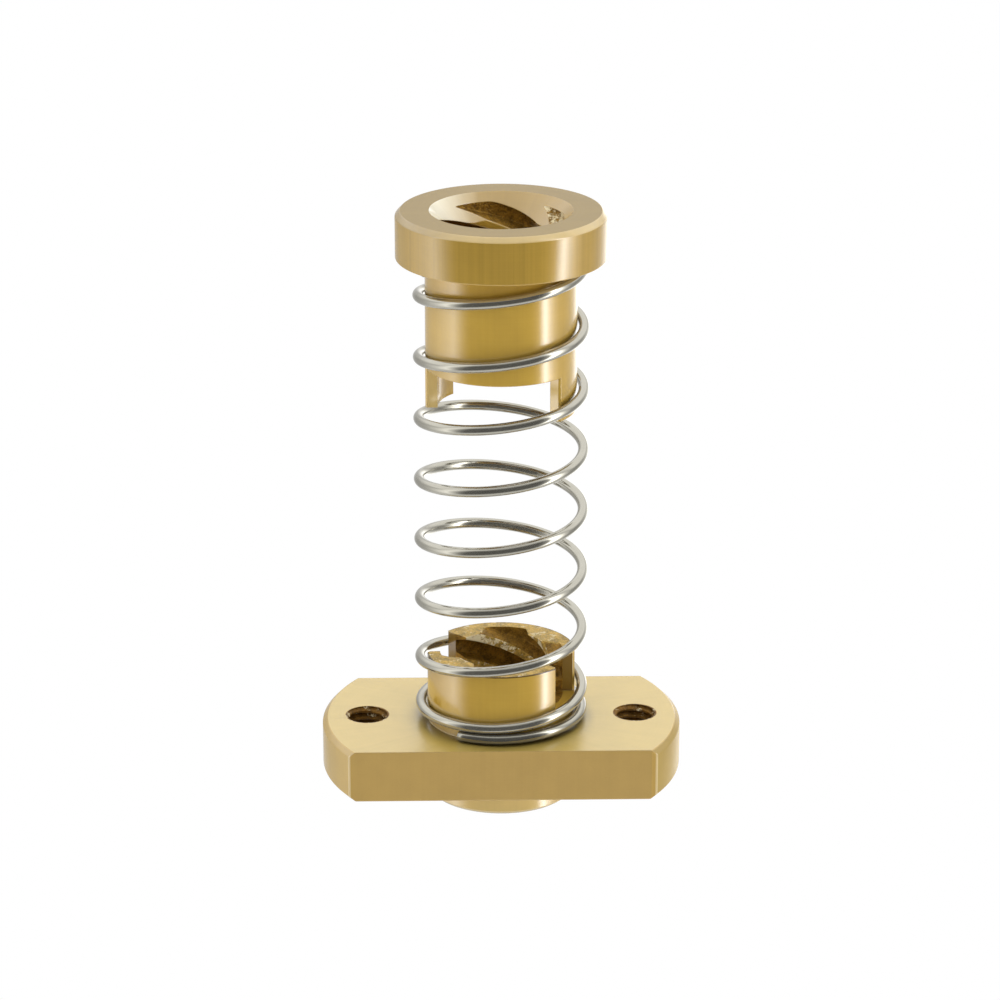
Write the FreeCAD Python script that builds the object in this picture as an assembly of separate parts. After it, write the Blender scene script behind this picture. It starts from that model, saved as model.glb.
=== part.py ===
import FreeCAD, Part
import math
import os

from FreeCAD import Vector

# Spring-loaded anti-backlash lead screw nut, in millimetres.
# The origin is the centre of the stub's lower face. +Z runs up the lead screw's axis, +X runs
# along the line of the two fixing holes, and -Y is the side of the flange's front flat.

# Four-start trapezoidal thread, right-hand, cut through both nuts
THREAD_LEAD = 8.0
THREAD_STARTS = 4
THREAD_CREST_D = 6.2
THREAD_ROOT_D = 8.2
THREAD_GROOVE = 1.15  # along the axis, halfway between crest and root
THREAD_FLANK_DEG = 15.0
THREAD_RUNOUT = 1.2  # how far the cutter passes each face
THREAD_OVERCUT = 0.2  # how far the cutter starts inside the crests
THREAD_MOUTH_D = 8.6  # chamfered mouth under the flange
FLANGED_THREAD_TURN_DEG = 2.0  # where the first start begins, about +Z
COUNTER_THREAD_TURN_DEG = 41.0

# Flange, turned round and then milled to two parallel flats
FLANGE_D = 24.0
FLANGE_ACROSS_FLATS = 12.8
FLANGE_THICK = 3.5
FLANGE_EDGE = 0.35

# Two tapped fixing holes through the flange
HOLE_SPACING = 18.0
HOLE_D = 2.5
HOLE_MOUTH = 0.17

# Locating stub under the flange
STUB_D = 10.0
STUB_HEIGHT = 1.7
STUB_EDGE = 0.2

# Barrel above the flange, which ends in two posts with a notch on each side
BARREL_D = 9.9
BARREL_HEIGHT = 4.65
NOTCH_CORNER = 0.15

# Legs of the counter nut, which slide down into the notches
LEG_COUNT = 2
LEG_DEG = 43.0
LEG_LENGTH = 2.95
LEG_CORNER = 0.12
LEG_CENTRE_DEG = -20.0
NOTCH_SIDE_PLAY_DEG = 1.5
NOTCH_END_PLAY = 0.15

# Counter nut: collar, barrel of its own and countersunk mouth
COLLAR_D = 13.7
COLLAR_THICK = 3.1
COLLAR_EDGE = 0.35
COUNTER_BARREL_D = 9.9
COUNTER_BARREL_LENGTH = 7.25
MOUTH_D = 9.3
MOUTH_HALF_ANGLE_DEG = 45.0
RELIEF_D = 8.3  # plain bore inside the legs
RELIEF_PAST_LEGS = 0.3
RELIEF_SLOPE = 0.4

# Spring between flange and collar, with closed, unground ends
WIRE_D = 0.7
SPRING_SIDE_PLAY = 0.1  # round each barrel
SPRING_SPACE = 31.95  # from the flange to the collar
SPRING_SEAT_PLAY = 0.03
OPEN_PITCH = 4.19
CLOSED_PITCH = 0.74
FIRST_CLOSED_TURNS = 1.108
LAST_CLOSED_TURNS = 0.55
CLOSING_TURNS = 0.1  # half the stretch over which the pitch changes
WIRE_START_DEG = 238.3
ARC_PAIRS_PER_TURN = 3
TANGENT_STEP = 0.0001  # turns each way, to find the wire's direction

CUT_PAST = 1.0  # how far plain cuts pass the faces that they open

# Heights that follow from the sizes above
flange_low = STUB_HEIGHT
flange_top = flange_low + FLANGE_THICK
post_top = flange_top + BARREL_HEIGHT
notch_floor = post_top - LEG_LENGTH - NOTCH_END_PLAY
collar_low = flange_top + SPRING_SPACE
collar_top = collar_low + COLLAR_THICK
leg_root = collar_low - COUNTER_BARREL_LENGTH
leg_tip = leg_root - LEG_LENGTH
notch_deg = LEG_DEG + 2 * NOTCH_SIDE_PLAY_DEG

axis = Vector(0, 0, 1)
centre = Vector(0, 0, 0)


def turned(outline):
    """Solid turned about the screw axis from (radius, height) corners."""
    corners = [Vector(radius, 0, height) for radius, height in outline]
    return Part.Face(Part.makePolygon(corners + corners[:1])).revolve(centre, axis, 360)


def gap(barrel_r, middle_deg, width_deg, corner, low, high):
    """Pie-shaped cut through a barrel's wall, which also takes the outer corners beside it."""
    half = width_deg / 2
    wider = half + math.degrees(corner / barrel_r)
    reach = 2 * barrel_r
    plan = [
        (0, 0),
        (barrel_r - corner, -half),
        (barrel_r, -wider),
        (reach, -wider),
        (reach, 0),
        (reach, wider),
        (barrel_r, wider),
        (barrel_r - corner, half),
    ]
    corners = []
    for radius, turn_deg in plan:
        angle = math.radians(middle_deg + turn_deg)
        corners.append(Vector(radius * math.cos(angle), radius * math.sin(angle), low))
    return Part.Face(Part.makePolygon(corners + corners[:1])).extrude(Vector(0, 0, high - low))


def thread_groove(low, high, start_deg):
    """One start of the screw thread, as the solid that the cutter takes away."""
    inner = THREAD_CREST_D / 2 - THREAD_OVERCUT
    outer = THREAD_ROOT_D / 2
    middle = (THREAD_CREST_D + THREAD_ROOT_D) / 4
    slope = math.tan(math.radians(THREAD_FLANK_DEG))
    half_inner = THREAD_GROOVE / 2 + (middle - inner) * slope
    half_outer = THREAD_GROOVE / 2 - (outer - middle) * slope
    corners = [
        Vector(inner, 0, -half_inner),
        Vector(outer, 0, -half_outer),
        Vector(outer, 0, half_outer),
        Vector(inner, 0, half_inner),
    ]
    section = Part.makePolygon(corners + corners[:1])
    bottom = low - THREAD_RUNOUT
    length = high - low + 2 * THREAD_RUNOUT
    path = Part.Wire(Part.makeHelix(THREAD_LEAD, length, middle))
    groove = path.makePipeShell([section], True, True)
    groove.translate(Vector(0, 0, bottom))
    groove.rotate(centre, axis, start_deg + 360 * bottom / THREAD_LEAD)
    return groove


def threaded(body, low, high, turn_deg):
    """The body with the crest bore and every start of the thread cut through it."""
    bore_length = high - low + 2 * CUT_PAST
    bore = Part.makeCylinder(THREAD_CREST_D / 2, bore_length, Vector(0, 0, low - CUT_PAST))
    body = body.cut(bore)
    for start in range(THREAD_STARTS):
        body = body.cut(thread_groove(low, high, turn_deg + 360 * start / THREAD_STARTS))
    return body


def make_flanged_nut():
    flange_r = FLANGE_D / 2
    body = turned(
        [
            (0, 0),
            (STUB_D / 2 - STUB_EDGE, 0),
            (STUB_D / 2, STUB_EDGE),
            (STUB_D / 2, flange_low),
            (flange_r - FLANGE_EDGE, flange_low),
            (flange_r, flange_low + FLANGE_EDGE),
            (flange_r, flange_top - FLANGE_EDGE),
            (flange_r - FLANGE_EDGE, flange_top),
            (BARREL_D / 2, flange_top),
            (BARREL_D / 2, post_top),
            (0, post_top),
        ]
    )
    between_flats = Part.makeBox(
        FLANGE_D + 2 * CUT_PAST,
        FLANGE_ACROSS_FLATS,
        post_top + 2 * CUT_PAST,
        Vector(-flange_r - CUT_PAST, -FLANGE_ACROSS_FLATS / 2, -CUT_PAST),
    )
    body = body.common(between_flats)

    for side in (-1, 1):
        x = side * HOLE_SPACING / 2
        mouth_r = HOLE_D / 2 + HOLE_MOUTH
        body = body.cut(Part.makeCylinder(HOLE_D / 2, FLANGE_THICK, Vector(x, 0, flange_low)))
        top_mouth = Part.makeCone(HOLE_D / 2, mouth_r, HOLE_MOUTH, Vector(x, 0, flange_top - HOLE_MOUTH))
        low_mouth = Part.makeCone(mouth_r, HOLE_D / 2, HOLE_MOUTH, Vector(x, 0, flange_low))
        body = body.cut(top_mouth).cut(low_mouth)

    for leg in range(LEG_COUNT):
        middle_deg = LEG_CENTRE_DEG + 360 * leg / LEG_COUNT
        high = post_top + CUT_PAST
        body = body.cut(gap(BARREL_D / 2, middle_deg, notch_deg, NOTCH_CORNER, notch_floor, high))

    mouth_depth = (THREAD_MOUTH_D - THREAD_CREST_D) / 2
    body = threaded(body, 0, post_top, FLANGED_THREAD_TURN_DEG)
    return body.cut(Part.makeCone(THREAD_MOUTH_D / 2, THREAD_CREST_D / 2, mouth_depth))


def make_counter_nut():
    barrel_r = COUNTER_BARREL_D / 2
    collar_r = COLLAR_D / 2
    body = turned(
        [
            (0, leg_tip),
            (barrel_r, leg_tip),
            (barrel_r, collar_low),
            (collar_r, collar_low),
            (collar_r, collar_top - COLLAR_EDGE),
            (collar_r - COLLAR_EDGE, collar_top),
            (0, collar_top),
        ]
    )
    gap_deg = 360 / LEG_COUNT - LEG_DEG
    for leg in range(LEG_COUNT):
        middle_deg = LEG_CENTRE_DEG + 360 * (leg + 0.5) / LEG_COUNT
        body = body.cut(gap(barrel_r, middle_deg, gap_deg, LEG_CORNER, leg_tip - CUT_PAST, leg_root))

    body = threaded(body, leg_tip, collar_top, COUNTER_THREAD_TURN_DEG)
    mouth_depth = (MOUTH_D - THREAD_CREST_D) / 2 / math.tan(math.radians(MOUTH_HALF_ANGLE_DEG))
    mouth = Part.makeCone(
        THREAD_CREST_D / 2, MOUTH_D / 2, mouth_depth, Vector(0, 0, collar_top - mouth_depth)
    )
    relief_top = leg_root + RELIEF_PAST_LEGS
    relief = turned(
        [
            (0, leg_tip - CUT_PAST),
            (RELIEF_D / 2, leg_tip - CUT_PAST),
            (RELIEF_D / 2, relief_top),
            (THREAD_CREST_D / 2, relief_top + RELIEF_SLOPE),
            (0, relief_top + RELIEF_SLOPE),
        ]
    )
    return body.cut(mouth).cut(relief)


def eased(distance, half):
    """Zero before a bend and the distance past it after, with a rounded change between."""
    if distance <= -half:
        return 0.0
    if distance >= half:
        return distance
    return (distance + half) ** 2 / (4 * half)


def arc_from(start, direction, end):
    """Arc between two points that leaves the first one in the given direction."""
    chord = end - start
    along = Vector(chord).normalize()
    aside = (direction - along * direction.dot(along)).normalize()
    lean = math.acos(direction.dot(along))
    middle = start + chord * 0.5 + aside * (chord.Length / 2 * math.tan(lean / 2))
    return Part.Arc(start, middle, end).toShape()


def arc_pair(start, start_way, end, end_way):
    """Two arcs that meet without a bend and keep the given directions at both ends."""
    chord = end - start
    both_ways = start_way + end_way
    spread = 2 * (1 - start_way.dot(end_way))
    along = chord.dot(both_ways)
    reach = (math.sqrt(along**2 + spread * chord.dot(chord)) - along) / spread
    meeting = (start + end + (start_way - end_way) * reach) * 0.5
    return [arc_from(start, start_way, meeting), arc_from(end, end_way * -1, meeting)]


def make_spring():
    """Wire that lies flat at both ends, rises evenly between them and follows both barrels."""
    low_coil_r = BARREL_D / 2 + SPRING_SIDE_PLAY + WIRE_D / 2
    high_coil_r = COUNTER_BARREL_D / 2 + SPRING_SIDE_PLAY + WIRE_D / 2
    lift = WIRE_D / 2 + SPRING_SEAT_PLAY
    first_z = flange_top + lift
    last_z = collar_low - lift
    opens_at = FIRST_CLOSED_TURNS
    closes_at = (last_z - first_z + (OPEN_PITCH - CLOSED_PITCH) * opens_at) / OPEN_PITCH
    turns = closes_at + LAST_CLOSED_TURNS

    def place(turn):
        rise = CLOSED_PITCH * turn
        rise += (OPEN_PITCH - CLOSED_PITCH) * eased(turn - opens_at, CLOSING_TURNS)
        rise -= OPEN_PITCH * eased(turn - closes_at, CLOSING_TURNS)
        between = (first_z + rise - post_top) / (leg_tip - post_top)
        coil_r = low_coil_r + (high_coil_r - low_coil_r) * min(max(between, 0.0), 1.0)
        angle = math.radians(WIRE_START_DEG + 360 * turn)
        return Vector(coil_r * math.cos(angle), coil_r * math.sin(angle), first_z + rise)

    def way(turn):
        return (place(turn + TANGENT_STEP) - place(turn - TANGENT_STEP)).normalize()

    steps = math.ceil(turns * ARC_PAIRS_PER_TURN)
    stops = [turns * step / steps for step in range(steps + 1)]
    arcs = []
    for low, high in zip(stops, stops[1:]):
        arcs += arc_pair(place(low), way(low), place(high), way(high))

    section = Part.Wire(Part.Circle(place(0), way(0), WIRE_D / 2).toShape())
    sweep = Part.BRepOffsetAPI.MakePipeShell(Part.Wire(Part.__sortEdges__(arcs)))
    sweep.setFrenetMode(True)
    sweep.add(section)
    sweep.build()
    sweep.makeSolid()
    return sweep.shape()


def main():
    os.makedirs("parts", exist_ok=True)
    nodes = {
        "flanged_nut": make_flanged_nut(),
        "spring": make_spring(),
        "counter_nut": make_counter_nut(),
    }
    for name, shape in nodes.items():
        shape.exportStep(f"parts/{name}.step")
        print(name, "solids", len(shape.Solids), "valid", shape.isValid(), "volume", round(shape.Volume, 2))


main()
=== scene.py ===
import math
from types import SimpleNamespace

import bpy
import numpy as np
from mathutils import Matrix


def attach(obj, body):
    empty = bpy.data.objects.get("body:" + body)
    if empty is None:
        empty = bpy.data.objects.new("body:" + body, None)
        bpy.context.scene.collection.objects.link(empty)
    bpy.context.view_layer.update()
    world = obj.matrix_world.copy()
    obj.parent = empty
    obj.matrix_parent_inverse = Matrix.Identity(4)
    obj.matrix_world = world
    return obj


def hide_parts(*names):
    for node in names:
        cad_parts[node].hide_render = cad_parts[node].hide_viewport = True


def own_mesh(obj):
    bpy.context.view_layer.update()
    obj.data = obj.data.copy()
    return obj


# Spring-loaded anti-backlash lead screw nut. Shapes are made in millimetres, in the frame of the
# CAD part (origin under the stub, +Z up the screw's axis), and scaled to metres when they are done.

MM = 0.001  # in metres
CIRCLE = 2 * math.pi

# Heights
FLANGE_LOW = 1.7
FLANGE_TOP = 5.2
POST_TOP = 9.85
NOTCH_FLOOR = 6.75
LEG_TIP = 26.95
LEG_ROOT = 29.9
COLLAR_LOW = 37.15
COLLAR_TOP = 40.25

# Radii and angles
STUB_R = 5.0
FLANGE_R = 12.0
FLAT_Y = 6.4
BARREL_R = 4.95
COLLAR_R = 6.85
NOTCH_DEG = 46.0
LEG_DEG = 43.0
LEG_CENTRE_DEG = -20.0

# Mouths of the bores, at 45 degrees, and the wider bore inside the legs
LOW_MOUTH_R = 4.3
MOUTH_R = 4.65
RELIEF_R = 4.15
RELIEF_TOP = 30.2
RELIEF_TAPER = 0.4

# Chamfers, and the roundings that soften the edges
STUB_CHAMFER = 0.2
FLANGE_CHAMFER = 0.35
COLLAR_CHAMFER = 0.35
POST_CORNER = 0.15
LEG_CORNER = 0.12
EDGE = 0.05
STUB_ROOT_EDGE = 0.03
FLANGE_EDGE = 0.06
COLLAR_EDGE = 0.08
COLLAR_ROOT_EDGE = 0.04

# Thread of the lead screw
THREAD_LEAD = 8.0
THREAD_STARTS = 4
CREST_R = 3.1
ROOT_R = 4.1
GROOVE = 1.15
FLANK_DEG = 15.0
THREAD_EDGE = 0.1
FLANGED_THREAD_DEG = 2.0  # turn of the thread in the flanged nut
COUNTER_THREAD_DEG = 41.0  # and in the counter nut

# Threads of the fixing holes
HOLE_X = 9.0
HOLE_PITCH = 0.5
HOLE_CREST_R = 1.22
HOLE_ROOT_R = 1.43
HOLE_GROOVE = 0.25
HOLE_FLANK_DEG = 30.0
HOLE_THREAD_EDGE = 0.03
HOLE_MOUTH_R = 1.45
HOLE_MOUTH_DEPTH = 0.18

# Spring
WIRE_R = 0.35
COIL_R = 5.4
OPEN_PITCH = 4.19
CLOSED_PITCH = 0.74
OPENS_AT = 1.108  # turns up from the wire's low end
LAST_TURNS = 0.55  # closed turns under the collar
EASING = 0.1  # turns to each side over which the pitch changes
WIRE_START_DEG = 238.3
WIRE_SEAT = 0.38  # from the wire's middle to the face that it lies on
WIRE_EDGE = 0.05

# How far cutters pass the faces that they cut, and the blunt tip of a gap's cutter on the axis
PAST = 1.0
LOW_MOUTH_PAST = 0.5
MOUTH_PAST = 0.3
HOLE_MOUTH_PAST = 0.05
PIE_TIP_R = 0.05

# Fineness of the meshes
SEGMENTS = 256
THREAD_SEGMENTS = 144
HOLE_MOUTH_SEGMENTS = 96
HOLE_THREAD_SEGMENTS = 64
WIRE_SIDES = 28
WIRE_STEPS_PER_TURN = 96
SHARP_DEG = 32
WIRE_SHARP_DEG = 50

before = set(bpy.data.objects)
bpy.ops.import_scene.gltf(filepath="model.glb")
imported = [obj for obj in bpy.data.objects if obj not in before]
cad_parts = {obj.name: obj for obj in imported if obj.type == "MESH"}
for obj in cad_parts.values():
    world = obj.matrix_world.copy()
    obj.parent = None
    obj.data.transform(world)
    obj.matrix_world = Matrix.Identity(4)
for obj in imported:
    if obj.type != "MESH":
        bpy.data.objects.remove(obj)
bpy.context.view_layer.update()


# Meshes


def new_object(name, points, faces):
    mesh = bpy.data.meshes.new(name)
    mesh.from_pydata([tuple(map(float, p)) for p in points], [], faces)
    mesh.update()
    obj = bpy.data.objects.new(name, mesh)
    bpy.context.scene.collection.objects.link(obj)
    return obj


def rounded(corners, steps=4):
    """Outline in which each (radius, height, rounding) corner becomes a short curve."""
    outline = []
    for i, (r, z, size) in enumerate(corners):
        if size == 0:
            outline.append((r, z))
            continue
        corner = np.array((r, z), float)
        back = np.array(corners[i - 1][:2], float) - corner
        ahead = np.array(corners[(i + 1) % len(corners)][:2], float) - corner
        back /= np.linalg.norm(back)
        ahead /= np.linalg.norm(ahead)
        for step in range(steps + 1):
            t = step / steps
            outline.append(tuple(corner + back * size * (1 - t) ** 2 + ahead * size * t**2))
    return outline


def closed_rings(name, rings, first, last):
    """Closed mesh through rings of points, with a point in the middle of each end."""
    count = len(rings[0])
    points = [p for ring in rings for p in ring] + [first, last]
    faces = []
    for k in range(len(rings) - 1):
        for i in range(count):
            j = (i + 1) % count
            faces.append((k * count + i, k * count + j, (k + 1) * count + j, (k + 1) * count + i))
    top = (len(rings) - 1) * count
    for i in range(count):
        j = (i + 1) % count
        faces.append((len(points) - 2, j, i))
        faces.append((len(points) - 1, top + i, top + j))
    return new_object(name, points, faces)


def turned(name, outline, x=0.0, segments=SEGMENTS):
    """Solid turned from an outline that starts and ends on the axis, at the given x."""
    angles = np.linspace(0, CIRCLE, segments, endpoint=False)
    rings = [[(x + r * math.cos(a), r * math.sin(a), z) for a in angles] for r, z in outline[1:-1]]
    return closed_rings(name, rings, (x, 0, outline[0][1]), (x, 0, outline[-1][1]))


def taper(low_z, low_r, high_z, high_r, x=0.0, segments=SEGMENTS):
    """Cutter for a conical mouth."""
    outline = [(0, low_z), (low_r, low_z), (high_r, high_z), (0, high_z)]
    return turned("mouth", outline, x, segments)


def prism(name, plan, low, high):
    """Upright block over a plan that runs anticlockwise."""
    count = len(plan)
    points = [(x, y, low) for x, y in plan] + [(x, y, high) for x, y in plan]
    faces = [tuple(reversed(range(count))), tuple(range(count, 2 * count))]
    faces += [(i, (i + 1) % count, (i + 1) % count + count, i + count) for i in range(count)]
    return new_object(name, points, faces)


def polar(radius, degrees):
    return radius * math.cos(math.radians(degrees)), radius * math.sin(math.radians(degrees))


def gap_plan(radius, middle_deg, width_deg, corner):
    """Pie-shaped plan of a gap in a wall, which also takes the outer corners beside the gap."""
    half = width_deg / 2
    wider = half + math.degrees(corner / radius)
    widest = wider + 1
    outside = radius * 1.6
    plan = [polar(PIE_TIP_R, middle_deg)]
    plan.append(polar(radius - corner, middle_deg - half))
    plan.append(polar(radius, middle_deg - wider))
    plan.append(polar(outside, middle_deg - widest))
    plan += [polar(outside, middle_deg + share * half) for share in (-0.6, -0.2, 0.2, 0.6)]
    plan.append(polar(outside, middle_deg + widest))
    plan.append(polar(radius, middle_deg + wider))
    plan.append(polar(radius - corner, middle_deg + half))
    return plan


def thread_profile(pitch, crest, root, groove, flank_deg, edge, steps=3):
    """(place along the axis, radius) points of one pitch of the cutter, with rounded corners."""
    run = (root - crest) / 2 * math.tan(math.radians(flank_deg))
    start, end = -groove / 2 - run, groove / 2 + run
    corners = [
        (end - pitch, crest, edge),
        (start, crest, edge),
        (-groove / 2 + run, root, edge),
        (groove / 2 - run, root, edge),
        (end, crest, edge),
        (start + pitch, crest, edge),
    ]
    points_per_corner = steps + 1
    outline = rounded(corners, steps)[points_per_corner:-points_per_corner]
    return outline + [(pitch / 2, crest)]


def thread_rod(profile, lead, starts, low, high, turn_deg=0, x=0.0, segments=THREAD_SEGMENTS):
    """Closed rod in the shape of the hole that a thread leaves, longer than the hole."""
    pitch = lead / starts
    shift = starts * len(profile)
    rows = math.ceil((high - low + lead + 2 * pitch) / pitch)
    bottom = pitch * math.floor((low - lead - pitch) / pitch)
    column = [(bottom + k * pitch + u, r) for k in range(rows + 1) for u, r in profile]
    last = len(column) - 1
    points = []
    for i in range(segments):
        angle = CIRCLE * i / segments
        lift = lead * (i / segments - turn_deg / 360)
        points += [(x + r * math.cos(angle), r * math.sin(angle), u + lift) for u, r in column]

    def at(i, j):
        return i * len(column) + j if i < segments else j + shift

    faces = []
    for i in range(segments):
        for j in range(last if i < segments - 1 else last - shift):
            faces.append((at(i, j), at(i + 1, j), at(i + 1, j + 1), at(i, j + 1)))
    low_loop = [at(i, 0) for i in range(segments)] + [at(0, j) for j in range(shift, 0, -1)]
    high_loop = [at(i, last) for i in range(segments)]
    high_loop += [at(segments - 1, last - j) for j in range(1, shift + 1)]
    for loop, flip in ((low_loop, True), (high_loop, False)):
        heights = [points[k][2] for k in loop]
        points.append((x, 0, (min(heights) + max(heights)) / 2))
        for a, b in zip(loop, loop[1:] + loop[:1]):
            faces.append((len(points) - 1, b, a) if flip else (len(points) - 1, a, b))
    return new_object("rod", points, faces)


def combine(body, operation, other):
    """Changes the body's mesh to a boolean of the two shapes. The other one is used up."""
    modifier = body.modifiers.new("shape", "BOOLEAN")
    modifier.operation = operation
    modifier.solver = "MANIFOLD"
    modifier.object = other
    graph = bpy.context.evaluated_depsgraph_get()
    made = bpy.data.meshes.new_from_object(body.evaluated_get(graph))
    body.modifiers.clear()
    body.data = made
    bpy.data.objects.remove(other)


def cut(body, *others):
    for other in others:
        combine(body, "DIFFERENCE", other)


def finished(obj, material, sharp_deg=SHARP_DEG):
    """The shape in metres, smooth but for its sharp edges, with its material."""
    mesh = obj.data
    mesh.transform(Matrix.Scale(MM, 4))
    mesh.polygons.foreach_set("use_smooth", [True] * len(mesh.polygons))
    mesh.set_sharp_from_angle(angle=math.radians(sharp_deg))
    mesh.materials.clear()
    mesh.materials.append(material)
    mesh.update()
    return obj


# Nuts


def lead_thread(low, high, turn_deg):
    """Cutter for the thread of the lead screw."""
    pitch = THREAD_LEAD / THREAD_STARTS
    profile = thread_profile(pitch, CREST_R, ROOT_R, GROOVE, FLANK_DEG, THREAD_EDGE)
    return thread_rod(profile, THREAD_LEAD, THREAD_STARTS, low, high, turn_deg)


def cut_fixing_hole(body, x):
    """Threaded hole with a small mouth at each end."""
    profile = thread_profile(
        HOLE_PITCH, HOLE_CREST_R, HOLE_ROOT_R, HOLE_GROOVE, HOLE_FLANK_DEG, HOLE_THREAD_EDGE
    )
    cut(
        body,
        thread_rod(
            profile, HOLE_PITCH, 1, FLANGE_LOW, FLANGE_TOP, x=x, segments=HOLE_THREAD_SEGMENTS
        ),
        taper(
            FLANGE_TOP - HOLE_MOUTH_DEPTH,
            HOLE_CREST_R,
            FLANGE_TOP + HOLE_MOUTH_PAST,
            HOLE_MOUTH_R,
            x,
            HOLE_MOUTH_SEGMENTS,
        ),
        taper(
            FLANGE_LOW - HOLE_MOUTH_PAST,
            HOLE_MOUTH_R,
            FLANGE_LOW + HOLE_MOUTH_DEPTH,
            HOLE_CREST_R,
            x,
            HOLE_MOUTH_SEGMENTS,
        ),
    )


def make_flanged_nut():
    outline = rounded(
        [
            (0, 0, 0),
            (STUB_R - STUB_CHAMFER, 0, EDGE),
            (STUB_R, STUB_CHAMFER, EDGE),
            (STUB_R, FLANGE_LOW, STUB_ROOT_EDGE),
            (FLANGE_R - FLANGE_CHAMFER, FLANGE_LOW, FLANGE_EDGE),
            (FLANGE_R, FLANGE_LOW + FLANGE_CHAMFER, FLANGE_EDGE),
            (FLANGE_R, FLANGE_TOP - FLANGE_CHAMFER, FLANGE_EDGE),
            (FLANGE_R - FLANGE_CHAMFER, FLANGE_TOP, FLANGE_EDGE),
            (BARREL_R, FLANGE_TOP, EDGE),
            (BARREL_R, POST_TOP, EDGE),
            (0, POST_TOP, 0),
        ]
    )
    body = turned("flanged_nut_brass", outline)
    end = FLANGE_R + PAST
    slab = [(-end, -FLAT_Y), (end, -FLAT_Y), (end, FLAT_Y), (-end, FLAT_Y)]
    combine(body, "INTERSECT", prism("slab", slab, -PAST, POST_TOP + PAST))
    for turn in (0, 180):
        plan = gap_plan(BARREL_R, LEG_CENTRE_DEG + turn, NOTCH_DEG, POST_CORNER)
        cut(body, prism("notch", plan, NOTCH_FLOOR, POST_TOP + PAST))
    cut(body, lead_thread(0, POST_TOP, FLANGED_THREAD_DEG))
    depth = LOW_MOUTH_R - CREST_R
    cut(body, taper(-LOW_MOUTH_PAST, LOW_MOUTH_R + LOW_MOUTH_PAST, depth, CREST_R))
    for x in (-HOLE_X, HOLE_X):
        cut_fixing_hole(body, x)
    return body


def make_counter_nut():
    outline = rounded(
        [
            (0, LEG_TIP, 0),
            (BARREL_R, LEG_TIP, EDGE),
            (BARREL_R, COLLAR_LOW, COLLAR_ROOT_EDGE),
            (COLLAR_R, COLLAR_LOW, COLLAR_EDGE),
            (COLLAR_R, COLLAR_TOP - COLLAR_CHAMFER, COLLAR_EDGE),
            (COLLAR_R - COLLAR_CHAMFER, COLLAR_TOP, COLLAR_EDGE),
            (0, COLLAR_TOP, 0),
        ]
    )
    body = turned("counter_nut_brass", outline)
    for turn in (90, 270):
        plan = gap_plan(BARREL_R, LEG_CENTRE_DEG + turn, 180 - LEG_DEG, LEG_CORNER)
        cut(body, prism("gap", plan, LEG_TIP - PAST, LEG_ROOT))
    cut(body, lead_thread(LEG_TIP, COLLAR_TOP, COUNTER_THREAD_DEG))
    depth = MOUTH_R - CREST_R
    cut(body, taper(COLLAR_TOP - depth, CREST_R, COLLAR_TOP + MOUTH_PAST, MOUTH_R + MOUTH_PAST))
    relief = [
        (0, LEG_TIP - PAST),
        (RELIEF_R, LEG_TIP - PAST),
        (RELIEF_R, RELIEF_TOP),
        (CREST_R, RELIEF_TOP + RELIEF_TAPER),
        (0, RELIEF_TOP + RELIEF_TAPER),
    ]
    cut(body, turned("relief", relief))
    return body


# Spring


def eased(distance, half):
    """The distance past zero, which sets in smoothly from -half to half."""
    if distance <= -half:
        return 0.0
    if distance >= half:
        return distance
    return (distance + half) ** 2 / (4 * half)


def spring_path():
    """Points along the middle of the wire, from the flange up to the collar."""
    first_z = FLANGE_TOP + WIRE_SEAT
    last_z = COLLAR_LOW - WIRE_SEAT
    widening = OPEN_PITCH - CLOSED_PITCH
    closes_at = (last_z - first_z + widening * OPENS_AT) / OPEN_PITCH
    turns = closes_at + LAST_TURNS
    steps = math.ceil(turns * WIRE_STEPS_PER_TURN)
    path = []
    for step in range(steps + 1):
        turn = turns * step / steps
        z = first_z + CLOSED_PITCH * turn
        z += widening * eased(turn - OPENS_AT, EASING)
        z -= OPEN_PITCH * eased(turn - closes_at, EASING)
        x, y = polar(COIL_R, WIRE_START_DEG + 360 * turn)
        path.append((x, y, z))
    return np.array(path)


def set_attribute(obj, name, kind, key, values):
    attribute = obj.data.attributes.new(name, kind, "POINT")
    attribute.data.foreach_set(key, np.array(values, np.float32).ravel())


def make_spring():
    """The wire. Its points know how far along and where around the wire they are."""
    path = spring_path()
    along = np.gradient(path, axis=0)
    along /= np.linalg.norm(along, axis=1)[:, None]
    out = path * (1, 1, 0) / COIL_R
    up = np.cross(along, out)
    angles = np.linspace(0, CIRCLE, WIRE_SIDES, endpoint=False)

    def ring(k, radius, push):
        middle = path[k] + along[k] * push
        return [
            tuple(middle + radius * (math.cos(a) * out[k] + math.sin(a) * up[k])) for a in angles
        ]

    rings = [ring(0, WIRE_R - WIRE_EDGE, -WIRE_EDGE)]
    rings += [ring(k, WIRE_R, 0) for k in range(len(path))]
    rings.append(ring(-1, WIRE_R - WIRE_EDGE, WIRE_EDGE))
    ends = tuple(path[0] - along[0] * WIRE_EDGE), tuple(path[-1] + along[-1] * WIRE_EDGE)
    spring = closed_rings("spring_wire", [r[::-1] for r in rings], *ends)

    lengths = np.cumsum(np.linalg.norm(np.diff(path, axis=0), axis=1))
    ring_lengths = [0, 0, *lengths, lengths[-1]]
    values = [*np.repeat(ring_lengths, WIRE_SIDES), 0, lengths[-1]]
    set_attribute(spring, "along", "FLOAT", "value", values)
    around = [(math.cos(a), math.sin(a), 0) for a in angles] * len(rings) + [(1, 0, 0)] * 2
    set_attribute(spring, "around", "FLOAT_VECTOR", "vector", around)
    return spring


# Node trees

CLOSE = 0.05  # how near to a face's height counts as on it


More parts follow.
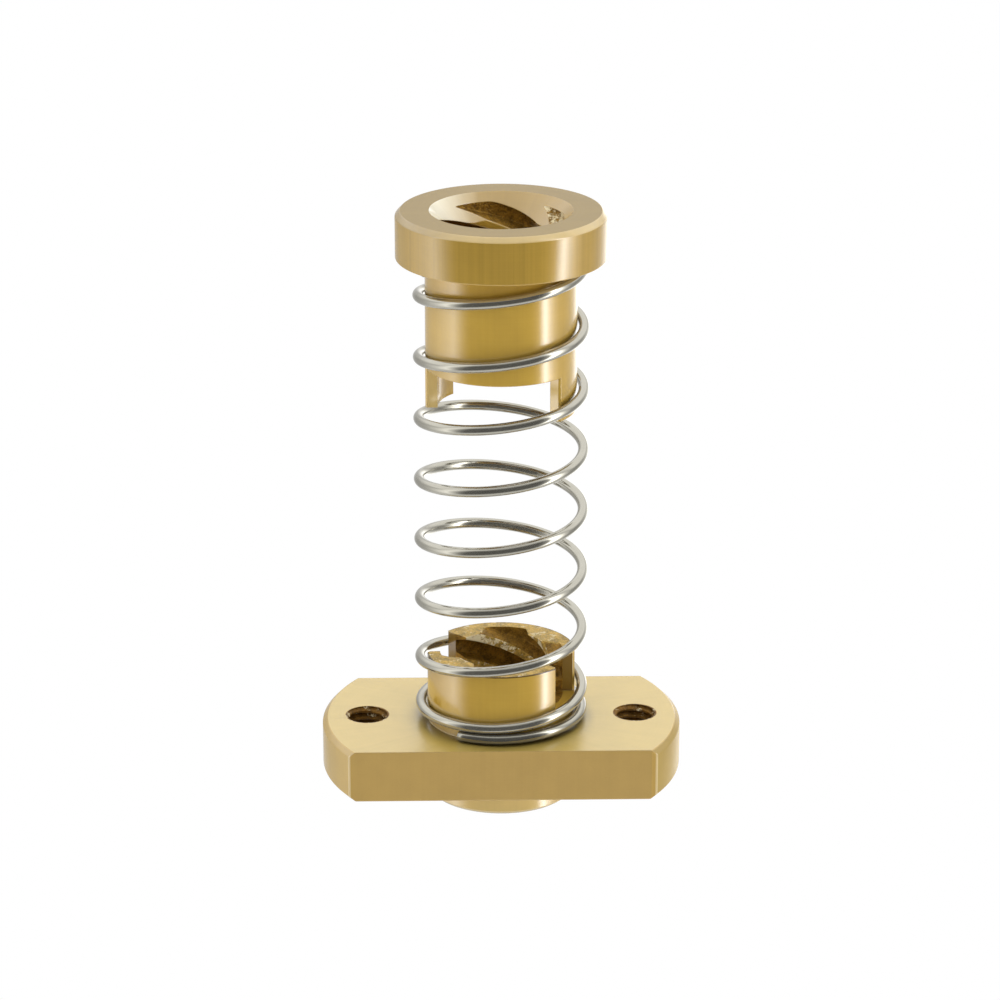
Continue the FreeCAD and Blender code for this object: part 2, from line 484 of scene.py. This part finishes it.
class Nodes:
    """Short calls for building one node tree."""

    def __init__(self, tree):
        self.tree = tree
        tree.nodes.clear()

    def add(self, kind, inputs, **settings):
        node = self.tree.nodes.new(kind)
        for key, value in settings.items():
            setattr(node, key, value)
        for key, value in inputs.items():
            self.put(node.inputs[key], value)
        return node

    def put(self, socket, value):
        if isinstance(value, bpy.types.NodeSocket):
            self.tree.links.new(value, socket)
        elif isinstance(value, bpy.types.Node):
            self.tree.links.new(value.outputs[0], socket)
        elif socket.type == "RGBA":
            socket.default_value = (*value, 1.0)
        else:
            socket.default_value = value

    def math(self, operation, *values):
        return self.add("ShaderNodeMath", dict(enumerate(values)), operation=operation).outputs[0]

    def chain(self, operation, first, *others):
        for other in others:
            first = self.math(operation, first, other)
        return first

    def total(self, *values):
        return self.chain("ADD", *values)

    def product(self, *values):
        return self.chain("MULTIPLY", *values)

    def largest(self, *values):
        return self.chain("MAXIMUM", *values)

    def within(self, value, low, high):
        """1 where the value lies between low and high, and 0 elsewhere."""
        return self.math("COMPARE", value, (low + high) / 2, (high - low) / 2)

    def near(self, value, middle, reach=CLOSE):
        """1 where the value lies within reach of the middle, and 0 elsewhere."""
        return self.math("COMPARE", value, middle, reach)

    def span(self, value, low, high, out_low=0.0, out_high=1.0):
        """The value carried from one range to another and held at its ends."""
        inputs = dict(enumerate((value, low, high, out_low, out_high)))
        return self.add("ShaderNodeMapRange", inputs, clamp=True).outputs[0]

    def mix(self, share, first, second):
        """Blend of two colours, where the second is a triple, or of two numbers."""
        if isinstance(second, tuple):
            inputs = {0: share, 6: first, 7: second}
            return self.add("ShaderNodeMix", inputs, data_type="RGBA").outputs[2]
        inputs = {0: share, 2: first, 3: second}
        return self.add("ShaderNodeMix", inputs, data_type="FLOAT").outputs[0]

    def layered(self, base, *layers):
        """The base, with each (mask, value) laid over what comes before it."""
        for mask, value in layers:
            base = self.mix(mask, base, value)
        return base

    def ramp(self, value, stops):
        """Colours or greys by (place, colour) stops."""
        node = self.add("ShaderNodeValToRGB", {"Fac": value})
        elements = node.color_ramp.elements
        while len(elements) < len(stops):
            elements.new(0.5)
        for element, (place, colour) in zip(elements, stops):
            element.position = place
            element.color = (*colour, 1) if isinstance(colour, tuple) else (*[colour] * 3, 1)
        return node.outputs[0]

    def noise(self, vector, scale, detail, roughness=0.5):
        inputs = {"Vector": vector, "Scale": scale, "Detail": detail, "Roughness": roughness}
        return self.add("ShaderNodeTexNoise", inputs).outputs["Fac"]

    def split(self, vector):
        return self.add("ShaderNodeSeparateXYZ", {0: vector}).outputs

    def joined(self, *values):
        return self.add("ShaderNodeCombineXYZ", dict(enumerate(values)))

    def scaled(self, vector, factor):
        inputs = {0: vector, "Scale": factor}
        return self.add("ShaderNodeVectorMath", inputs, operation="SCALE")

    def bump(self, height, strength, distance, **others):
        inputs = {"Height": height, "Strength": strength, "Distance": distance, **others}
        return self.add("ShaderNodeBump", inputs)


def new_material(name):
    material = bpy.data.materials.new(name)
    material.use_nodes = True
    return material, Nodes(material.node_tree)


# Brass. Lengths are in millimetres, and MM makes metres of them where a node takes metres.

BELOW = -1.0
ABOVE = 50.0
MOUTH_ZONE = 38.0  # the counter nut's mouth lies above this height
GLINTS_GROW = (8.2, 9.0)  # heights between which the post tops' ragged threads begin, and the painted glints on them grow denser
FLAT_END_X = (10.05, 10.2)  # where the flats meet the flange's round ends

# Range of the z of a face's unit normal, for faces that look one way
FACING_UP = (0.9, 1.1)
FACING_SIDEWAYS = (-0.3, 0.3)
FACING_AS_MOUTH = (0.6, 0.8)
FACING_AS_CHAMFER = (0.3, 0.9)


def brass_places(n):
    """Coordinates, distance from the axis, and the way that each face looks."""
    mm = n.scaled(n.add("ShaderNodeTexCoord", {}).outputs["Object"], 1 / MM)
    x, y, z = n.split(mm)
    radius = n.math("SQRT", n.total(n.product(x, x), n.product(y, y)))
    face_x, face_y, face_z = n.split(n.add("ShaderNodeNewGeometry", {}).outputs["True Normal"])
    outward = n.math("DIVIDE", n.total(n.product(x, face_x), n.product(y, face_y)), radius)
    return SimpleNamespace(
        mm=mm,
        x=x,
        y=y,
        z=z,
        radius=radius,
        outward=outward,
        face_z=face_z,
        abs_x=n.math("ABSOLUTE", x),
        abs_y=n.math("ABSOLUTE", y),
    )


def brass_marks(n, at):
    """Noise patterns that the finishes share, and that place the painted streaks and glints."""
    around = n.joined(n.math("DIVIDE", at.x, at.radius), n.math("DIVIDE", at.y, at.radius))
    lumps = n.noise(at.mm, scale=1.6, detail=4.0, roughness=0.6)
    specks = n.noise(at.mm, scale=8.0, detail=3.0, roughness=0.7)
    return SimpleNamespace(
        turning=n.noise(n.joined(at.radius, at.z), scale=9.0, detail=3.0, roughness=0.6),
        bands=n.noise(around, scale=14.0, detail=5.0, roughness=0.7),
        cloud=n.noise(at.mm, scale=0.6, detail=3.0),
        grit=n.noise(at.mm, scale=5.0, detail=4.0, roughness=0.65),
        spots=n.mix(0.5, lumps, specks),
        glint_noise=n.noise(at.mm, scale=1.3, detail=5.0, roughness=0.75),
    )


def brass_areas(n, at):
    """Masks of the places that have a look of their own."""
    x, y, z, radius = at.x, at.y, at.z, at.radius
    upward = n.within(at.face_z, *FACING_UP)
    upright = n.within(at.face_z, *FACING_SIDEWAYS)
    flanged_nut = n.within(z, BELOW, POST_TOP + 1)
    collar = n.within(z, COLLAR_LOW, ABOVE)
    threaded = n.largest(flanged_nut, n.within(z, RELIEF_TOP, ABOVE))
    gap_walls = n.product(
        upright, n.within(at.outward, -0.6, 0.6), n.within(radius, CREST_R, BARREL_R)
    )
    from_hole = n.math("SUBTRACT", at.abs_x, HOLE_X)
    from_hole_squared = n.total(n.product(from_hole, from_hole), n.product(y, y))

    area = SimpleNamespace()
    area.stub = n.within(z, -0.1, FLANGE_LOW - 0.02)
    area.flange_top = n.product(upward, n.near(z, FLANGE_TOP))
    area.flats = n.product(n.near(at.abs_y, FLAT_Y, 0.02), flanged_nut)
    area.flange_ends = n.within(radius, FLANGE_R - 0.3, FLANGE_R + 0.1)
    area.flange_right = n.product(area.flange_ends, n.within(x, 0, 20))
    area.holes = n.within(from_hole_squared, -1, (HOLE_MOUTH_R + 0.02) ** 2)
    area.post_tops = n.product(upward, n.near(z, POST_TOP))
    area.post_rims = n.product(
        n.within(radius, BARREL_R - 0.07, BARREL_R + CLOSE),
        n.within(z, POST_TOP - 0.07, POST_TOP + CLOSE),
    )
    area.notch_walls = n.product(gap_walls, n.within(z, NOTCH_FLOOR - CLOSE, POST_TOP + CLOSE))
    area.leg_walls = n.product(gap_walls, n.within(z, LEG_TIP - CLOSE, LEG_ROOT + CLOSE))
    area.collar_side = n.product(n.near(radius, COLLAR_R, 0.1), upright, collar)
    area.collar_top = n.product(upward, n.near(z, COLLAR_TOP))
    area.collar_edge = n.product(
        collar, n.within(at.face_z, *FACING_AS_CHAMFER), n.within(radius, 6, 8)
    )
    area.collar_edge_left = n.product(area.collar_edge, n.span(x, -2.0, -5.0))
    area.mouth = n.product(
        n.within(z, MOUTH_ZONE, ABOVE),
        n.within(at.face_z, *FACING_AS_MOUTH),
        n.within(radius, 3, 5),
    )
    area.mouth_left = n.product(area.mouth, n.span(x, -1.4, -4.0))
    area.crests = n.product(n.within(radius, 0, CREST_R + 0.06), flanged_nut)
    area.grooves = n.product(
        n.within(radius, CREST_R + 0.06, ROOT_R + 0.03),
        threaded,
        n.math("SUBTRACT", 1.0, area.mouth),
    )

    area.glinting = n.largest(area.crests, area.post_tops)
    area.worn = n.largest(area.grooves, area.holes, area.glinting)
    area.satin = n.largest(area.flange_top, area.flats, area.collar_top)
    area.matt = n.largest(area.satin, area.flange_ends, area.stub)
    return area


def brass_tone(n, area):
    """Colour of each place, with painted light and shade on many of them."""
    return n.layered(
        (0.645, 0.415, 0.065),
        # Painted shade: the flange's round ends a little darker, the right end darker still.
        (area.flange_ends, (0.585, 0.388, 0.085)),
        (area.flange_right, (0.510, 0.355, 0.100)),
        # Painted light on the stub and the flange's top, painted shade on the flats.
        (area.stub, (0.720, 0.535, 0.200)),
        (area.flange_top, (0.750, 0.548, 0.130)),
        (area.flats, (0.575, 0.375, 0.098)),
        # Painted shade on the collar's side and top; painted light on its chamfer, shaded again on
        # the left.
        (area.collar_side, (0.510, 0.325, 0.052)),
        (area.collar_top, (0.370, 0.250, 0.060)),
        (area.collar_edge, (0.700, 0.504, 0.170)),
        (area.collar_edge_left, (0.450, 0.305, 0.080)),
        (area.mouth, (0.550, 0.355, 0.070)),
        # Painted highlight: the left side of the upper mouth near white.
        (area.mouth_left, (0.970, 0.890, 0.660)),
        # Painted shade on the notch walls, painted light on the legs' side walls.
        (area.notch_walls, (0.300, 0.180, 0.035)),
        (area.leg_walls, (0.850, 0.630, 0.240)),
        # Painted shade in the thread's crests and grooves and in the fixing holes.
        (area.crests, (0.540, 0.340, 0.070)),
        (area.grooves, (0.330, 0.180, 0.025)),
        (area.holes, (0.230, 0.115, 0.020)),
        (area.post_tops, (0.600, 0.395, 0.085)),
        # Painted shade: a dark line round the posts' top rims.
        (area.post_rims, (0.150, 0.090, 0.020)),
    )


def brass_shade(n, marks, area):
    """Brightness of the colour: painted reflection streaks round the collar, clouds, worn spots and
    painted shade in corners.
    """
    # Painted reflection streaks: upright bands of lighter and darker colour, strongest round the
    # collar.
    swing = n.mix(area.collar_side, 0.02, 0.08)
    darkest = n.math("SUBTRACT", 1.0, swing)
    painted_streaks = n.span(marks.bands, 0.35, 0.65, darkest, n.total(1.0, swing))
    clouded = n.span(marks.cloud, 0.3, 0.7, 0.97, 1.03)
    spotted = n.mix(area.worn, 1.0, n.span(marks.spots, 0.4, 0.6, 0.55, 1.45))
    # Painted shade: ambient occlusion darkens the colour in corners and where parts meet, wider and
    # deeper on the flange's top.
    reach = n.mix(area.flange_top, 0.4 * MM, 2.0 * MM)
    openness = n.add("ShaderNodeAmbientOcclusion", {"Distance": reach}, samples=6).outputs["AO"]
    deepest_shade = n.mix(area.flange_top, 0.5, 0.2)
    painted_corner_shade = n.span(openness, 0.2, 0.85, deepest_shade, 1.0)
    return n.product(painted_streaks, clouded, spotted, painted_corner_shade)


def brass_painted_glints(n, at, marks, area):
    """Painted glints where the thread's ends are ragged, and painted highlights on the flange's
    corners.
    """
    # Painted glints: near-white flecks on the post tops and in the fixing holes, and more on the
    # thread's crests and the mouth's grooves.
    fleck_places = n.largest(area.post_tops, area.holes)
    painted_flecks = n.product(fleck_places, n.span(marks.glint_noise, 0.57, 0.63))
    mouth_right = n.product(n.within(at.z, MOUTH_ZONE, ABOVE), n.span(at.x, 2.0, 3.0))
    thread_glint_places = n.largest(area.crests, n.product(area.grooves, mouth_right))
    level = n.span(at.z, *GLINTS_GROW, 0.51, 0.46)
    thread_glints = n.product(thread_glint_places, n.span(marks.glint_noise, level, n.total(level, 0.06)))
    # Painted highlights along the flange's upright corners, where the flats meet the round ends.
    corners = n.product(
        n.within(at.abs_x, *FLAT_END_X),
        n.near(at.abs_y, FLAT_Y, 0.1),
        n.within(at.z, FLANGE_LOW + 0.3, FLANGE_TOP - 0.1),
    )
    return n.largest(painted_flecks, thread_glints, n.product(corners, 0.4))


def brass_surface(n, marks, area):
    """Softened edges, fine turning marks and rough wear."""
    edges = n.add("ShaderNodeBevel", {"Radius": 0.09 * MM}, samples=6)
    height = n.total(marks.turning, n.product(marks.cloud, 0.15))
    fine = n.bump(height, strength=0.10, distance=0.03 * MM, Normal=edges)
    wear = n.product(area.worn, 0.9)
    depth = n.mix(area.glinting, 0.18 * MM, 0.3 * MM)
    return n.bump(marks.spots, strength=wear, distance=depth, Normal=fine)


def brass(name):
    """Polished, satin and worn brass, each on the faces that show it in the photo, coloured with
    painted light and shade.
    """
    material, n = new_material(name)
    at = brass_places(n)
    marks = brass_marks(n, at)
    area = brass_areas(n, at)
    painted_glints = brass_painted_glints(n, at, marks, area)
    colour = n.scaled(brass_tone(n, area), brass_shade(n, marks, area))
    surface = brass_surface(n, marks, area)
    metallic = n.layered(
        0.39,
        (area.matt, 0.35),
        (area.collar_side, 0.48),
        (area.worn, 0.6),
        (area.glinting, 0.7),
        (painted_glints, 0.1),
    )
    coat = n.layered(
        1.0,
        (area.collar_top, 0.6),
        (area.notch_walls, 0.6),
        (area.collar_side, 0.85),
        (area.flange_ends, n.span(at.x, -9.0, 9.0, 0.9, 0.32)),
        (area.worn, 0.1),
    )
    inputs = {
        # Painted glints and highlights: the colour turns near white under the painted glints.
        "Base Color": n.mix(painted_glints, colour, (1.0, 0.870, 0.560)),
        "Metallic": metallic,
        "Specular IOR Level": 0.0,
        "Roughness": n.mix(area.worn, n.span(marks.turning, 0.3, 0.7, 0.60, 0.70), 0.28),
        "Normal": surface,
        "Coat Weight": coat,
        "Coat Roughness": n.mix(area.satin, n.span(marks.grit, 0.3, 0.7, 0.09, 0.14), 0.27),
        "Coat IOR": 2.2,
        "Coat Normal": surface,
    }
    shader = n.add("ShaderNodeBsdfPrincipled", inputs)
    n.add("ShaderNodeOutputMaterial", {"Surface": shader})
    return material


# Steel


def steel(name):
    """Bright drawn wire, with streaks along it, and painted shade low down where it lies on the
    flange.
    """
    material, n = new_material(name)
    along = n.add("ShaderNodeAttribute", {}, attribute_name="along").outputs["Fac"]
    around = n.add("ShaderNodeAttribute", {}, attribute_name="around").outputs["Vector"]
    across_x, across_y, _ = n.split(around)
    drawn = n.joined(across_x, across_y, n.product(along, 0.05))
    streaks = n.noise(drawn, scale=7.0, detail=4.0, roughness=0.6)
    place = n.add("ShaderNodeTexCoord", {}).outputs["Object"]
    cloud = n.noise(place, scale=0.9 / MM, detail=3.0)
    tone = n.ramp(
        n.mix(0.4, streaks, cloud), [(0.3, (0.44, 0.423, 0.362)), (0.7, (0.51, 0.492, 0.425))]
    )
    height = n.split(place)[2]
    # Painted shade: the wire darkened towards the flange.
    shade_near_flange = n.span(height, (FLANGE_TOP + 0.2) * MM, (FLANGE_TOP + 1.0) * MM, 0.55, 1.0)
    inputs = {
        "Base Color": n.scaled(tone, shade_near_flange),
        "Metallic": 0.87,
        "Specular IOR Level": 0.0,
        "Roughness": n.span(cloud, 0.3, 0.7, 0.06, 0.10),
        "Normal": n.bump(streaks, strength=0.05, distance=0.02 * MM),
    }
    shader = n.add("ShaderNodeBsdfPrincipled", inputs)
    n.add("ShaderNodeOutputMaterial", {"Surface": shader})
    return material


# The pieces, on their bodies

flanged_nut = finished(make_flanged_nut(), brass("flanged_brass"))
counter_nut = finished(make_counter_nut(), brass("counter_brass"))
spring = finished(make_spring(), steel("spring_steel"), WIRE_SHARP_DEG)

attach(flanged_nut, "base")
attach(spring, "base")
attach(counter_nut, "counter")
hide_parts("flanged_nut")
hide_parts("spring")
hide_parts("counter_nut")
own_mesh(spring)


# Floor, surroundings and camera

FLOOR_HALF = 900.0

# Brightness of the surroundings by azimuth, in degrees from +X towards +Y
BRIGHTEST = 6.0
SIDE_LIGHT = (
    (-180, 1.35), (-168, 1.75), (-159.5, 1.1), (-150, 0.42), (-141, 0.10), (-118, 0.06),
    (-60, 0.07), (-48, 0.07), (-40, 0.15), (-31, 0.6), (-25, 3.4), (-20, 5.5),
    (-13, 2.9), (-4, 1.2), (7, 0.5), (20, 0.4), (34, 0.55), (46, 0.9), (58, 1.7),
    (70, 2.3), (82, 1.6), (95, 0.7), (122, 0.50), (146, 0.62), (160, 0.85), (171, 1.1),
    (180, 1.35),
)
BELOW_LIGHT = 0.9
EVEN_LIGHT = 0.9

# Camera in metres and radians, fitted to the photo
CAMERA_PLACE = (-0.004821, -0.230, 0.103105)
CAMERA_DOWN = 0.344882
CAMERA_TURN = -0.020618
CAMERA_LENS = 133.48


def make_floor():
    h = FLOOR_HALF
    floor = new_object("floor", [(-h, -h, 0), (h, -h, 0), (h, h, 0), (-h, h, 0)], [(0, 1, 2, 3)])
    material, n = new_material("pale_floor")
    glow = n.add("ShaderNodeEmission", {"Color": (1, 1, 1), "Strength": 1.0})
    n.add("ShaderNodeOutputMaterial", {"Surface": glow})
    finished(floor, material)
    floor.visible_glossy = False


def make_world():
    """White for the camera, even for diffuse light, and tall soft boxes for reflections."""
    world = bpy.data.worlds.new("studio")
    bpy.context.scene.world = world
    world.use_nodes = True
    world.cycles.sampling_method = "NONE"
    n = Nodes(world.node_tree)
    x, y, z = n.split(n.add("ShaderNodeTexCoord", {}).outputs["Generated"])
    azimuth = n.total(n.math("DIVIDE", n.math("ARCTAN2", y, x), CIRCLE), 0.5)
    stops = [((deg + 180) / 360, light / BRIGHTEST) for deg, light in SIDE_LIGHT]
    sides = n.product(n.ramp(azimuth, stops), BRIGHTEST)
    sky = n.product(n.span(z, 0.18, 0.42, 0.75, 1.35), n.span(y, -0.5, 0.3, 0.55, 1.0))
    behind = n.product(n.span(z, 0.02, 0.22), n.span(y, -0.1, 0.2))
    overhead = n.span(z, 0.6, 0.9)
    paths = n.add("ShaderNodeLightPath", {}).outputs
    light = n.layered(
        sides,
        (n.largest(behind, overhead), sky),
        (n.span(z, -0.75, -0.5, 1.0, 0.0), BELOW_LIGHT),
        (paths["Is Diffuse Ray"], EVEN_LIGHT),
        (paths["Is Camera Ray"], 1.0),
    )
    background = n.add("ShaderNodeBackground", {"Color": (1, 1, 1), "Strength": light})
    n.add("ShaderNodeOutputWorld", {"Surface": background})


def make_camera():
    data = bpy.data.cameras.new("camera")
    data.sensor_width = 36.0
    data.lens = CAMERA_LENS
    data.clip_start = 0.01
    data.clip_end = 10.0
    camera = bpy.data.objects.new("camera", data)
    camera.location = CAMERA_PLACE
    camera.rotation_euler = (math.pi / 2 - CAMERA_DOWN, 0, CAMERA_TURN)
    bpy.context.scene.collection.objects.link(camera)
    bpy.context.scene.camera = camera


make_floor()
make_world()
make_camera()
bpy.context.scene.view_settings.view_transform = "Standard"
